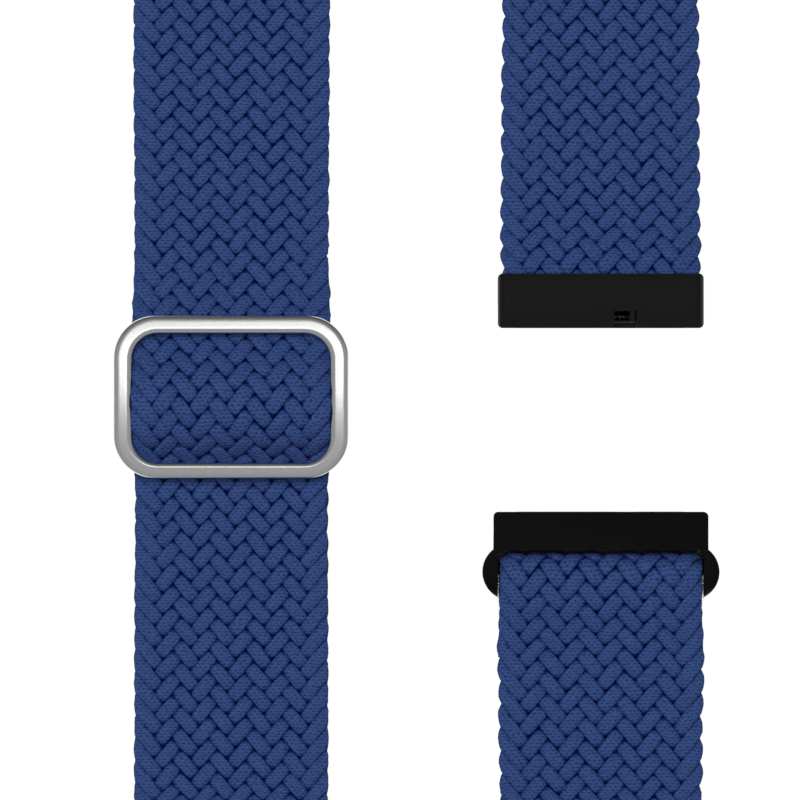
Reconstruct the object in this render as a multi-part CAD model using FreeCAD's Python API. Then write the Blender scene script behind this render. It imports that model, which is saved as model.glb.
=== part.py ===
"""Braided elastic watch strap, lying on a table as one closed loop.

Two straight columns of webbing lie side by side along Y, outer face up. Past each end of the columns
the webbing turns round on its outer edge. The left column (-X) passes through a metal slider. The right
column (+X) carries the two ends that hold the watch, with a gap between them for the watch head.
Millimetres, +Z up. The origin is on the table, midway between the columns, level with the slider's bar.
"""

import FreeCAD, Part

import math
import os

Vector = FreeCAD.Vector
X_AXIS = Vector(1, 0, 0)
Y_AXIS = Vector(0, 1, 0)
Z_AXIS = Vector(0, 0, 1)

# Webbing
WEB_WIDTH = 20.0
WEB_THICK = 1.8
LAYER_STEP = 2.0  # from the middle of one layer to the middle of the layer on it
COLUMN_X = 19.2  # middle of each column, left and right of the origin
TOP_TURN_Y = 43.0  # where the straight columns end
BOTTOM_TURN_Y = -41.0  # nearer, because two layers go round this turn

# U-turns
ROLL_POWER = 1.4  # above 1, so that the webbing starts to roll gently
TURN_SPANS = 16
PLAN_STEPS = 40  # steps of the plan curve's sum in each span

# Round bars that the webbing wraps: the slider's centre bar and the lower end's crossbar
BAR_R = 0.7
BAR_CLEARANCE = 0.05

# Slider, about its centre bar
SLIDER_WIDTH = 24.4
SLIDER_LENGTH = 16.7
SLIDER_WINDOW_WIDTH = 20.6
SLIDER_WINDOW_LENGTH = 13.4
SLIDER_OUTER_R = 4.4
SLIDER_INNER_R = 2.7
SLIDER_BOTTOM_Z = 4.5
SLIDER_THICK = 2.0
SLIDER_TOP_FILLET = 0.55
SLIDER_LUG_LENGTH = 3.4
SLIDER_LUG_WALL = 0.5  # under the centre bar
HUMP_GAP = 0.15  # between the sewn loop and the webbing that rides over it
HUMP_TOP_Y = 14.0  # where the webbing leaves the table towards the slider
HUMP_BOTTOM_Y = -10.0
HUMP_SIDE_GAP = 0.25  # the webbing's corners give way to the slider's window
HUMP_UNDER_GAP = 0.3
TAIL_END_Y = -4.2
TAIL_GAP = 0.05

# Bar tacks that sew the tail down
TACK_COUNT = 8
TACK_WIDTH = 1.5
TACK_LENGTH = 0.5
TACK_Y = -3.4
TACK_BOTTOM_Z = 0.5
TACK_TOP_Z = 4.0

# Watch ends: sizes that both share
PAST = 1.0  # how far a cutting solid runs past the face that it opens
BAR_ABOVE_FLOOR = 1.25  # from a watch end's underside to its spring bar's axis
LUG_HALF = 8.65  # the block between the watch's lugs is narrower than the cover
COVER_EDGE_R = 0.9
PLAN_CORNER_R = 0.5

# Upper watch end, with the clamped webbing
UPPER_WIDTH = 21.4
UPPER_WATCH_Y = 7.2
UPPER_DEPTH = 5.65
UPPER_FLOOR_Z = 0.2
UPPER_TOP_Z = 4.6
UPPER_COVER_Z = 2.75  # underside of the cover over the lug block
UPPER_LUG_DEPTH = 2.5
UPPER_WEB_Z = 2.3
UPPER_WEB_START_Y = 9.95
UPPER_WEB_END_Y = 18.0
CAVITY_HALF = 10.15
PLATE_HALF = 9.2
PLATE_DEPTH = 2.5
SCREW_X = 6.0
SCREW_R = 0.35
SCREW_HEAD_R = 0.7
SCREW_HEAD_HEIGHT = 0.5
SCREW_TOP_Z = 4.0
SCREW_SLOT = 0.2

# Lower watch end, with ears and a crossbar
LOWER_WIDTH = 22.3
LOWER_WATCH_Y = -11.9
LOWER_DEPTH = 3.95
LOWER_FLOOR_Z = 0.3
LOWER_TOP_Z = 5.2
LOWER_COVER_Z = 2.85
LOWER_LUG_DEPTH = 2.5
EAR_GAP_HALF = 10.4
EAR_GAP_CORNER_R = 0.7
LOBE_R = 2.95
LOBE_X = 9.35
LOBE_Y = -18.15
EAR_ROUND_Y = -18.4
CROSSBAR_Y = -18.7
CROSSBAR_OPEN_END = -12.0
CROSSBAR_BLIND_END = 11.6
LOOP_END_Y = -27.0

# Quick-release spring bars
SLEEVE_R = 0.75
SLEEVE_BORE_R = 0.6
SLEEVE_LIP_R = 0.45
SLEEVE_LIP = 0.4
TIP_R = 0.4
TIP_REACH = 1.0  # each tip stands out this far at rest
TIP_GAP = 0.1  # from the end's cradle to each tip, so that a watch's lug clears it
ROD_R = 0.22  # from each tip through the lip to the collars
COLLAR_R = 0.56
COLLAR_LENGTH = 1.0
COLLAR_GAP = 0.05
FIXED_INNER_X = -1.2
BAR_FROM_WATCH = 1.2
LEVER_X = 3.25
LEVER_THICK = 0.5
LEVER_POST_DEPTH = 0.6
LEVER_CAP_DEPTH = 1.1
LEVER_CAP_HEIGHT = 0.3
LEVER_SUNK = 0.1  # below the face that the lever's slot opens in
SLOT_START_X = 1.4
SLOT_END_X = 3.7
SLOT_DEPTH = 1.77
SLEEVE_SLOT_WIDTH = 0.8
COIL_R = 0.38
COIL_WIRE_R = 0.07
COIL_TURNS = 8
COIL_GAP = 0.03

HALF_W = WEB_WIDTH / 2
HALF_T = WEB_THICK / 2
LOW_Z = HALF_T
HIGH_Z = LOW_Z + LAYER_STEP
WRAP_IN_R = BAR_R + BAR_CLEARANCE
WRAP_OUT_R = WRAP_IN_R + WEB_THICK
BAR_Z = WRAP_OUT_R  # the wrapped webbing just lies on the table
WRAP_MID_Z = BAR_Z + WRAP_IN_R + HALF_T
HUMP_TOP_Z = BAR_Z + WRAP_OUT_R + HUMP_GAP + HALF_T


def block(x0, x1, y0, y1, z0, z1):
    """A rectangular block between two corners."""
    return Part.makeBox(x1 - x0, y1 - y0, z1 - z0, Vector(x0, y0, z0))


def rod(radius, x0, x1, y, z):
    """A round rod along X."""
    return Part.makeCylinder(radius, x1 - x0, Vector(x0, y, z), X_AXIS)


def rounded_outline(x0, x1, y0, y1, radius):
    """A rectangle in plan with rounded corners, as a closed wire at z = 0."""
    turn = radius * (1 - math.sqrt(0.5))
    corners = [(x1, y0, -1, 1), (x1, y1, -1, -1), (x0, y1, 1, -1), (x0, y0, 1, 1)]
    ends = []
    for index, (x, y, in_x, in_y) in enumerate(corners):
        along_y = Vector(x, y + in_y * radius, 0)
        along_x = Vector(x + in_x * radius, y, 0)
        middle = Vector(x + in_x * turn, y + in_y * turn, 0)
        if index % 2 == 0:
            ends.append((along_x, middle, along_y))
        else:
            ends.append((along_y, middle, along_x))
    edges = []
    for index, (first, middle, last) in enumerate(ends):
        following = ends[(index + 1) % len(ends)][0]
        edges.append(Part.Arc(first, middle, last).toShape())
        edges.append(Part.LineSegment(last, following).toShape())
    return Part.Wire(edges)


def rounded_prism(x0, x1, y0, y1, z0, z1, radius):
    """A block whose four upright edges are rounded."""
    outline = rounded_outline(x0, x1, y0, y1, radius)
    outline.translate(Vector(0, 0, z0))
    return Part.Face(outline).extrude(Vector(0, 0, z1 - z0))


def arched_prism(half, z0, z1, radius, y0, y1):
    """A block with its two upper edges rounded along Y, for the covers of the watch ends."""
    left = COLUMN_X - half
    right = COLUMN_X + half
    turn = radius * (1 - math.sqrt(0.5))
    low_left = Vector(left, y0, z0)
    low_right = Vector(right, y0, z0)
    side_right = Vector(right, y0, z1 - radius)
    side_left = Vector(left, y0, z1 - radius)
    top_right = Vector(right - radius, y0, z1)
    top_left = Vector(left + radius, y0, z1)
    edges = [
        Part.LineSegment(low_left, low_right).toShape(),
        Part.LineSegment(low_right, side_right).toShape(),
        Part.Arc(side_right, Vector(right - turn, y0, z1 - turn), top_right).toShape(),
        Part.LineSegment(top_right, top_left).toShape(),
        Part.Arc(top_left, Vector(left + turn, y0, z1 - turn), side_left).toShape(),
        Part.LineSegment(side_left, low_left).toShape(),
    ]
    return Part.Face(Part.Wire(edges)).extrude(Vector(0, y1 - y0, 0))


def heading(u):
    """How far the plan curve of a U-turn has turned, from 0 at its start to pi at its end."""
    return math.pi * (1 - math.cos(math.pi * u)) / 2


def roll(u):
    """How far the webbing has rolled on to its outer edge."""
    return math.pi / 2 * max(0.0, math.sin(math.pi * u)) ** ROLL_POWER


def turn_plan():
    """Plan points of the U-turn's middle line from x = -COLUMN_X to +COLUMN_X, one for each section."""
    steps = TURN_SPANS * PLAN_STEPS
    angles = [heading((index + 0.5) / steps) for index in range(steps)]
    step = 2 * COLUMN_X / sum(math.sin(angle) for angle in angles)
    x = -COLUMN_X
    y = 0.0
    points = [(x, y)]
    for index, angle in enumerate(angles):
        x += step * math.sin(angle)
        y += step * math.cos(angle)
        if (index + 1) % PLAN_STEPS == 0:
            points.append((x, y))
    return points


def turned_webbing(start_y, side, lift):
    """One layer of webbing round a U-turn. side is +1 at the top, and lift moves the layer outwards."""
    sections = []
    for index, (x, y) in enumerate(turn_plan()):
        u = index / TURN_SPANS
        turn = heading(u)
        tilt = roll(u)
        level = Vector(math.cos(turn), -side * math.sin(turn), 0)
        across = level * math.cos(tilt) + Z_AXIS * math.sin(tilt)
        outward = Z_AXIS * math.cos(tilt) - level * math.sin(tilt)
        height = HALF_W * math.sin(tilt) + HALF_T * math.cos(tilt)
        centre = Vector(x, start_y + side * y, height) + outward * lift
        corners = [
            centre - across * HALF_W - outward * HALF_T,
            centre + across * HALF_W - outward * HALF_T,
            centre + across * HALF_W + outward * HALF_T,
            centre - across * HALF_W + outward * HALF_T,
        ]
        sections.append(Part.makePolygon(corners + corners[:1]))
    return Part.makeLoft(sections, True, True)


def flat_webbing(column, y0, y1, middle_z):
    """A straight stretch of webbing. column is -1 for the left one and +1 for the right one."""
    middle_x = column * COLUMN_X
    return block(middle_x - HALF_W, middle_x + HALF_W, y0, y1, middle_z - HALF_T, middle_z + HALF_T)


def side_curve(points):
    """A smooth curve through (y, z) points, level at both ends."""
    first = Vector(0, points[0][0], points[0][1])
    last = Vector(0, points[-1][0], points[-1][1])
    way = Y_AXIS if last.y > first.y else -Y_AXIS
    curve = Part.BSplineCurve()
    curve.interpolate(
        Points=[Vector(0, y, z) for y, z in points],
        InitialTangent=way,
        FinalTangent=way,
    )
    return curve


def beside(curve, distance):
    """The curve moved sideways in the YZ plane by a distance, positive to the left of its direction."""
    samples = 14
    moved = []
    for index in range(samples + 1):
        at = curve.FirstParameter
        at += (curve.LastParameter - curve.FirstParameter) * index / samples
        along = Vector(*curve.tangent(at)[0])
        moved.append(curve.value(at) + Vector(0, -along.z, along.y) * distance)
    way = Vector(*curve.tangent(curve.FirstParameter)[0])
    result = Part.BSplineCurve()
    result.interpolate(Points=moved, InitialTangent=way, FinalTangent=way)
    return result


def between(first, last):
    """A straight edge in the YZ plane between two points."""
    return Part.LineSegment(first, last).toShape()


def full_width(edges, column):
    """A solid of the webbing's full width from its closed outline in the YZ plane."""
    outline = Part.Wire(Part.__sortEdges__(edges))
    outline.translate(Vector(column * COLUMN_X - HALF_W, 0, 0))
    return Part.Face(outline).extrude(Vector(WEB_WIDTH, 0, 0))


def bent_webbing(points, column):
    """Webbing whose middle follows (y, z) points, level at both ends."""
    middle = side_curve(points)
    one = beside(middle, HALF_T)
    other = beside(middle, -HALF_T)
    edges = [
        one.toShape(),
        other.toShape(),
        between(one.StartPoint, other.StartPoint),
        between(one.EndPoint, other.EndPoint),
    ]
    return full_width(edges, column)


def wrapped_webbing(bar_y, tail, return_y, column):
    """Webbing that comes in along the table, goes round a bar and leaves over it along the tail's points."""
    over = side_curve([(bar_y, WRAP_MID_Z)] + tail)
    upper = beside(over, -HALF_T)
    lower = beside(over, HALF_T)
    outer_low = Vector(0, bar_y, BAR_Z - WRAP_OUT_R)
    outer_far = Vector(0, bar_y + WRAP_OUT_R, BAR_Z)
    inner_low = Vector(0, bar_y, BAR_Z - WRAP_IN_R)
    inner_far = Vector(0, bar_y + WRAP_IN_R, BAR_Z)
    end_low = Vector(0, return_y, outer_low.z)
    end_high = Vector(0, return_y, inner_low.z)
    edges = [
        between(end_low, outer_low),
        Part.Arc(outer_low, outer_far, upper.StartPoint).toShape(),
        upper.toShape(),
        between(upper.EndPoint, lower.EndPoint),
        lower.toShape(),
        Part.Arc(inner_low, inner_far, lower.StartPoint).toShape(),
        between(inner_low, end_high),
        between(end_high, end_low),
    ]
    return full_width(edges, column)


def slider_hump():
    """The webbing that passes under the slider's ends and over its centre bar."""
    points = [
        (HUMP_TOP_Y, LOW_Z),
        (10.4, 1.6),
        (6.9, 3.05),
        (3.4, 4.8),
        (1.0, 5.9),
        (-1.0, HUMP_TOP_Z),
        (-4.0, 5.0),
        (-6.4, 3.1),
        (-7.6, 2.92),
        (HUMP_BOTTOM_Y, HIGH_Z),
    ]
    hump = bent_webbing(points, -1)
    room_w = SLIDER_WINDOW_WIDTH / 2 - HUMP_SIDE_GAP
    room_l = SLIDER_WINDOW_LENGTH / 2 - HUMP_SIDE_GAP
    low = SLIDER_BOTTOM_Z - HUMP_UNDER_GAP
    high = SLIDER_BOTTOM_Z + 2 * SLIDER_THICK
    room = rounded_prism(-room_w, room_w, -room_l, room_l, low, high, SLIDER_INNER_R)
    around = block(-HALF_W - PAST, HALF_W + PAST, HUMP_BOTTOM_Y, HUMP_TOP_Y, low, high).cut(room)
    around.translate(Vector(-COLUMN_X, 0, 0))
    return hump.cut(around).removeSplitter()


def sewn_end_loop():
    """The webbing's sewn end: round the slider's centre bar, with a short tail on top of itself."""
    tail = [(-2.2, 3.55), (TAIL_END_Y, LOW_Z + WEB_THICK + TAIL_GAP)]
    return wrapped_webbing(0.0, tail, HUMP_BOTTOM_Y, -1)


def bar_tacks():
    """The rows of thread through the tail and the webbing under it, as separate stitches."""
    pitch = WEB_WIDTH / TACK_COUNT
    stitches = []
    for index in range(TACK_COUNT):
        middle = -COLUMN_X - HALF_W + pitch * (index + 0.5)
        left = middle - TACK_WIDTH / 2
        near = TACK_Y - TACK_LENGTH / 2
        stitches.append(
            block(left, left + TACK_WIDTH, near, near + TACK_LENGTH, TACK_BOTTOM_Z, TACK_TOP_Z)
        )
    return Part.makeCompound(stitches)


def slider_frame():
    """The slider's rounded frame, with a lug under each side that holds the centre bar."""
    half_w = SLIDER_WIDTH / 2
    half_l = SLIDER_LENGTH / 2
    hole_w = SLIDER_WINDOW_WIDTH / 2
    hole_l = SLIDER_WINDOW_LENGTH / 2
    top_z = SLIDER_BOTTOM_Z + SLIDER_THICK
    frame = rounded_prism(-half_w, half_w, -half_l, half_l, SLIDER_BOTTOM_Z, top_z, SLIDER_OUTER_R)
    hole = rounded_prism(-hole_w, hole_w, -hole_l, hole_l, 0, top_z + PAST, SLIDER_INNER_R)
    frame = frame.cut(hole)
    top_edges = [edge for edge in frame.Edges if edge.BoundBox.ZMin > top_z - 0.01]
    frame = frame.makeFillet(SLIDER_TOP_FILLET, top_edges)
    lug_bottom = BAR_Z - BAR_R - SLIDER_LUG_WALL
    lug_half = SLIDER_LUG_LENGTH / 2
    lug_top = SLIDER_BOTTOM_Z + SLIDER_THICK / 4
    for side in (-1, 1):
        x0, x1 = sorted((side * hole_w, side * (half_w - SLIDER_TOP_FILLET)))
        lug = block(x0, x1, -lug_half, lug_half, lug_bottom, lug_top)
        foot = rod(lug_half, x0, x1, 0, lug_bottom + lug_half)
        column = block(x0, x1, -lug_half, lug_half, lug_bottom + lug_half, lug_top)
        frame = frame.fuse(lug.common(foot.fuse(column)))
    frame = frame.cut(rod(BAR_R, -half_w, half_w, 0, BAR_Z))
    frame.translate(Vector(-COLUMN_X, 0, 0))
    return frame.removeSplitter()


def slider_bar():
    """The slider's centre bar, pressed into the lugs."""
    reach = SLIDER_WIDTH / 2 - SLIDER_TOP_FILLET
    return rod(BAR_R, -COLUMN_X - reach, -COLUMN_X + reach, 0, BAR_Z)


def spring_bar_axis(end):
    """Where a watch end's spring bar lies: its y, its z and the way its lever points, up or down."""
    if end == "upper":
        return UPPER_WATCH_Y + BAR_FROM_WATCH, UPPER_FLOOR_Z + BAR_ABOVE_FLOOR, 1
    return LOWER_WATCH_Y - BAR_FROM_WATCH, LOWER_FLOOR_Z + BAR_ABOVE_FLOOR, -1


def lever_slot(end):
    """The slot in a watch end that shows the lever, open at the watch edge."""
    y, z, way = spring_bar_axis(end)
    x0 = COLUMN_X + SLOT_START_X
    x1 = COLUMN_X + SLOT_END_X
    if way > 0:
        return block(x0, x1, UPPER_WATCH_Y - PAST, UPPER_WATCH_Y + SLOT_DEPTH, z, UPPER_TOP_Z + PAST)
    return block(x0, x1, LOWER_WATCH_Y - SLOT_DEPTH, LOWER_WATCH_Y + PAST, LOWER_FLOOR_Z - PAST, z)


def upper_housing():
    """The upper watch end's moulded housing: a cover, a lug block and a pocket for the webbing."""
    half = UPPER_WIDTH / 2
    left = COLUMN_X - half
    right = COLUMN_X + half
    web_y = UPPER_WATCH_Y + UPPER_DEPTH
    shell = arched_prism(half, UPPER_FLOOR_Z, UPPER_TOP_Z, COVER_EDGE_R, UPPER_WATCH_Y, web_y)
    plan = rounded_prism(left, right, UPPER_WATCH_Y, web_y, 0, UPPER_TOP_Z, PLAN_CORNER_R)
    shell = shell.common(plan)
    lug_y = UPPER_WATCH_Y + UPPER_LUG_DEPTH
    for side in (-1, 1):
        x0, x1 = sorted((COLUMN_X + side * LUG_HALF, COLUMN_X + side * (half + PAST)))
        shell = shell.cut(block(x0, x1, UPPER_WATCH_Y - PAST, lug_y, 0, UPPER_COVER_Z))
    web_low = UPPER_WEB_Z - HALF_T
    web_high = UPPER_WEB_Z + HALF_T
    pocket_x = (COLUMN_X - CAVITY_HALF, COLUMN_X + CAVITY_HALF)
    shell = shell.cut(block(*pocket_x, UPPER_WEB_START_Y, web_y + PAST, web_low, web_high))
    shell = shell.cut(clamp_plate_block())
    for side in (-1, 1):
        shell = shell.cut(screw_hole(side, SCREW_R, web_low, SCREW_TOP_Z))
    y, z, _ = spring_bar_axis("upper")
    shell = shell.cut(rod(SLEEVE_R, COLUMN_X - LUG_HALF, COLUMN_X + LUG_HALF, y, z))
    return shell.cut(lever_slot("upper")).removeSplitter()


def screw_hole(side, radius, z0, z1):
    """An upright cylinder on one of the two clamp screws' axes."""
    y = UPPER_WEB_START_Y + PLATE_DEPTH / 2
    centre = Vector(COLUMN_X + side * SCREW_X, y, z0)
    return Part.makeCylinder(radius, z1 - z0, centre, Z_AXIS)


def clamp_plate_block():
    """The space that the clamp plate fills, open at the housing's underside."""
    y0 = UPPER_WEB_START_Y
    top = UPPER_WEB_Z - HALF_T
    plate_x = (COLUMN_X - PLATE_HALF, COLUMN_X + PLATE_HALF)
    return block(*plate_x, y0, y0 + PLATE_DEPTH, UPPER_FLOOR_Z, top)


def clamp_plate():
    """The plate that presses the webbing up into the housing."""
    plate = clamp_plate_block()
    head_top = UPPER_FLOOR_Z + SCREW_HEAD_HEIGHT
    for side in (-1, 1):
        plate = plate.cut(screw_hole(side, SCREW_HEAD_R, UPPER_FLOOR_Z, head_top))
        plate = plate.cut(screw_hole(side, SCREW_R, UPPER_FLOOR_Z, UPPER_WEB_Z))
    return plate


def clamp_screws():
    """Two slotted screws through the plate and the webbing into the housing."""
    screws = []
    head_top = UPPER_FLOOR_Z + SCREW_HEAD_HEIGHT
    for side in (-1, 1):
        screw = screw_hole(side, SCREW_HEAD_R, UPPER_FLOOR_Z, head_top)
        screw = screw.fuse(screw_hole(side, SCREW_R, UPPER_FLOOR_Z, SCREW_TOP_Z))
        x = COLUMN_X + side * SCREW_X
        slot = block(x - PAST, x + PAST, -SCREW_SLOT / 2, SCREW_SLOT / 2, 0, UPPER_FLOOR_Z + SCREW_SLOT)
        slot.translate(Vector(0, UPPER_WEB_START_Y + PLATE_DEPTH / 2, 0))
        screws.append(screw.cut(slot).removeSplitter())
    return Part.makeCompound(screws)


def clamped_webbing():
    """The webbing's first stretch, from inside the upper watch end down to the table."""
    mouth_y = UPPER_WATCH_Y + UPPER_DEPTH
    inside = flat_webbing(1, UPPER_WEB_START_Y, mouth_y, UPPER_WEB_Z)
    points = [(mouth_y, UPPER_WEB_Z), (15.4, 1.6), (UPPER_WEB_END_Y, LOW_Z)]
    webbing = inside.fuse(bent_webbing(points, 1)).removeSplitter()
    for side in (-1, 1):
        webbing = webbing.cut(screw_hole(side, SCREW_R, 0, UPPER_TOP_Z))
    return webbing


def lower_housing():
    """The lower watch end's housing: a cover over a lug block, and an ear at each side for the crossbar."""
    half = LOWER_WIDTH / 2
    web_y = LOWER_WATCH_Y - LOWER_DEPTH
    far_y = EAR_ROUND_Y - LOBE_R - PAST
    left = COLUMN_X - half
    right = COLUMN_X + half
    height = (0, LOWER_TOP_Z)
    plan = rounded_prism(left, right, web_y - PLAN_CORNER_R, LOWER_WATCH_Y, *height, PLAN_CORNER_R)
    for side in (-1, 1):
        centre = Vector(COLUMN_X + side * LOBE_X, LOBE_Y, 0)
        plan = plan.fuse(Part.makeCylinder(LOBE_R, LOWER_TOP_Z, centre, Z_AXIS))
        x0, x1 = sorted((COLUMN_X + side * EAR_GAP_HALF, COLUMN_X + side * half))
        plan = plan.fuse(block(x0, x1, LOBE_Y, web_y + PLAN_CORNER_R, *height))
    gap_x = (COLUMN_X - EAR_GAP_HALF, COLUMN_X + EAR_GAP_HALF)
    plan = plan.cut(rounded_prism(*gap_x, far_y - 2 * PAST, web_y, *height, EAR_GAP_CORNER_R))
    cover = arched_prism(
        half + LOBE_R, LOWER_FLOOR_Z, LOWER_TOP_Z, COVER_EDGE_R, far_y, LOWER_WATCH_Y
    )
    side_r = (LOWER_TOP_Z - LOWER_FLOOR_Z) / 2
    middle_z = (LOWER_TOP_Z + LOWER_FLOOR_Z) / 2
    wide = (COLUMN_X - half - LOBE_R, COLUMN_X + half + LOBE_R)
    profile = block(*wide, EAR_ROUND_Y, LOWER_WATCH_Y, LOWER_FLOOR_Z, LOWER_TOP_Z)
    profile = profile.fuse(rod(side_r, *wide, EAR_ROUND_Y, middle_z))
    shell = plan.common(profile).common(cover)
    lug_y = LOWER_WATCH_Y - LOWER_LUG_DEPTH
    for side in (-1, 1):
        x0, x1 = sorted((COLUMN_X + side * LUG_HALF, COLUMN_X + side * (half + PAST)))
        shell = shell.cut(block(x0, x1, lug_y, LOWER_WATCH_Y + PAST, 0, LOWER_COVER_Z))
    bore_x = (COLUMN_X - half - LOBE_R, COLUMN_X + CROSSBAR_BLIND_END)
    shell = shell.cut(rod(BAR_R, *bore_x, CROSSBAR_Y, BAR_Z))
    y, z, _ = spring_bar_axis("lower")
    shell = shell.cut(rod(SLEEVE_R, COLUMN_X - LUG_HALF, COLUMN_X + LUG_HALF, y, z))
    return shell.cut(lever_slot("lower")).removeSplitter()


def crossbar():
    """The bar between the lower end's ears, pressed in through the left one."""
    return rod(
        BAR_R, COLUMN_X + CROSSBAR_OPEN_END, COLUMN_X + CROSSBAR_BLIND_END, CROSSBAR_Y, BAR_Z
    )


def crossbar_loop():
    """The webbing round the crossbar: the outer layer comes over it and goes back beneath."""
    tail = [(CROSSBAR_Y - 3.8, 3.55), (LOOP_END_Y, HIGH_Z)]
    return wrapped_webbing(CROSSBAR_Y, tail, LOOP_END_Y, 1)


def bar_sleeve(end):
    """A spring bar's tube: lips keep the tips in, and a slot lets the lever out."""
    y, z, way = spring_bar_axis(end)
    left = COLUMN_X - LUG_HALF
    right = COLUMN_X + LUG_HALF
    sleeve = rod(SLEEVE_R, left, right, y, z)
    sleeve = sleeve.cut(rod(SLEEVE_BORE_R, left + SLEEVE_LIP, right - SLEEVE_LIP, y, z))
    sleeve = sleeve.cut(rod(SLEEVE_LIP_R, left, right, y, z))
    z0, z1 = sorted((z, z + way * (SLEEVE_R + PAST)))
    half_slot = SLEEVE_SLOT_WIDTH / 2
    slot_x = (COLUMN_X + SLOT_START_X, COLUMN_X + SLOT_END_X)
    return sleeve.cut(block(*slot_x, y - half_slot, y + half_slot, z0, z1))


def fixed_tip(end):
    """The tip that is crimped into the sleeve's left end, with a thin rod whose head backs the coil spring."""
    y, z, _ = spring_bar_axis(end)
    left = COLUMN_X - LUG_HALF
    collar_x = left + SLEEVE_LIP
    head_x = COLUMN_X + FIXED_INNER_X
    tip = rod(TIP_R, left - TIP_GAP - TIP_REACH, left - TIP_GAP, y, z)
    tip = tip.fuse(rod(ROD_R, left - TIP_GAP, head_x, y, z))
    tip = tip.fuse(rod(SLEEVE_BORE_R, collar_x, collar_x + COLLAR_LENGTH, y, z))
    return tip.fuse(rod(COLLAR_R, head_x - COLLAR_LENGTH / 2, head_x, y, z)).removeSplitter()


def release_tip(end):
    """The sprung tip at the right: a collar behind the sleeve's lip, a thin rod, and the lever a fingernail pulls."""
    y, z, way = spring_bar_axis(end)
    right = COLUMN_X + LUG_HALF
    lever_x = COLUMN_X + LEVER_X
    inner_x = lever_x - COLLAR_LENGTH / 2
    collar_x = right - SLEEVE_LIP - COLLAR_GAP
    tip = rod(TIP_R, right + TIP_GAP, right + TIP_GAP + TIP_REACH, y, z)
    tip = tip.fuse(rod(ROD_R, inner_x, right + TIP_GAP, y, z))
    tip = tip.fuse(rod(COLLAR_R, collar_x - COLLAR_LENGTH, collar_x, y, z))
    tip = tip.fuse(rod(COLLAR_R, inner_x, inner_x + COLLAR_LENGTH, y, z))
    cap_z = UPPER_TOP_Z - LEVER_SUNK if way > 0 else LOWER_FLOOR_Z + LEVER_SUNK
    lever_span = (lever_x - LEVER_THICK / 2, lever_x + LEVER_THICK / 2)
    z0, z1 = sorted((z, cap_z))
    post = block(*lever_span, y - LEVER_POST_DEPTH / 2, y + LEVER_POST_DEPTH / 2, z0, z1)
    z0, z1 = sorted((cap_z, cap_z - way * LEVER_CAP_HEIGHT))
    cap = block(*lever_span, y - LEVER_CAP_DEPTH / 2, y + LEVER_CAP_DEPTH / 2, z0, z1)
    return tip.fuse(post).fuse(cap).removeSplitter()


def coil_spring(end):
    """The spring between the fixed rod and the release tip's collar, inside the sleeve."""
    y, z, _ = spring_bar_axis(end)
    start = FIXED_INNER_X + COIL_WIRE_R + COIL_GAP
    finish = LEVER_X - COLLAR_LENGTH / 2 - COIL_WIRE_R - COIL_GAP
    length = finish - start
    path = Part.makeHelix(length / COIL_TURNS, length, COIL_R)
    start_way = Vector(0, COIL_R, length / COIL_TURNS / (2 * math.pi))
    section = Part.Wire(Part.makeCircle(COIL_WIRE_R, Vector(COIL_R, 0, 0), start_way))
    coil = Part.Wire(path.Edges).makePipeShell([section], True, True)
    coil.rotate(Vector(0, 0, 0), Y_AXIS, 90)
    coil.translate(Vector(COLUMN_X + start, y, z))
    return coil


PARTS = {
    "top_turn": turned_webbing(TOP_TURN_Y, 1, 0.0),
    "bottom_turn_outer": turned_webbing(BOTTOM_TURN_Y, -1, LAYER_STEP),
    "bottom_turn_return": turned_webbing(BOTTOM_TURN_Y, -1, 0.0),
    "left_upper_run": flat_webbing(-1, HUMP_TOP_Y, TOP_TURN_Y, LOW_Z),
    "left_lower_run": flat_webbing(-1, BOTTOM_TURN_Y, HUMP_BOTTOM_Y, HIGH_Z),
    "left_return_run": flat_webbing(-1, BOTTOM_TURN_Y, HUMP_BOTTOM_Y, LOW_Z),
    "right_upper_run": flat_webbing(1, UPPER_WEB_END_Y, TOP_TURN_Y, LOW_Z),
    "right_lower_run": flat_webbing(1, BOTTOM_TURN_Y, LOOP_END_Y, HIGH_Z),
    "right_return_run": flat_webbing(1, BOTTOM_TURN_Y, LOOP_END_Y, LOW_Z),
    "slider_hump": slider_hump(),
    "sewn_end_loop": sewn_end_loop(),
    "bar_tacks": bar_tacks(),
    "slider_frame": slider_frame(),
    "slider_bar": slider_bar(),
    "clamped_webbing": clamped_webbing(),
    "upper_housing": upper_housing(),
    "upper_clamp_plate": clamp_plate(),
    "upper_clamp_screws": clamp_screws(),
    "crossbar_loop": crossbar_loop(),
    "lower_housing": lower_housing(),
    "lower_crossbar": crossbar(),
}
for end in ("upper", "lower"):
    PARTS[end + "_bar_sleeve"] = bar_sleeve(end)
    PARTS[end + "_fixed_tip"] = fixed_tip(end)
    PARTS[end + "_release_tip"] = release_tip(end)
    PARTS[end + "_bar_spring"] = coil_spring(end)

os.makedirs("parts", exist_ok=True)
for name, shape in PARTS.items():
    box = shape.BoundBox
    print(
        f"{name:20s} valid {shape.isValid()} solids {len(shape.Solids)} volume {shape.Volume:9.3f}"
        f"  x {box.XMin:7.2f} {box.XMax:7.2f}  y {box.YMin:7.2f} {box.YMax:7.2f}"
        f"  z {box.ZMin:6.2f} {box.ZMax:6.2f}"
    )
    shape.exportStep(f"parts/{name}.step")
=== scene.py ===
"""Braided elastic watch strap, lying on a table as one closed loop and seen from straight above.

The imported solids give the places. This script dresses them: the webbing is braided strand by strand along
the strap's whole path, and the slider and the two watch ends get rounded edges and finishes. Shapes are
made in millimetres, in the solids' own frame, and become metres when their piece is finished. The lamps,
the floor and the shaders' distances are in metres.
"""

import math
from collections import namedtuple

import bmesh
import bpy
import numpy as np
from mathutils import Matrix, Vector, noise


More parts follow.
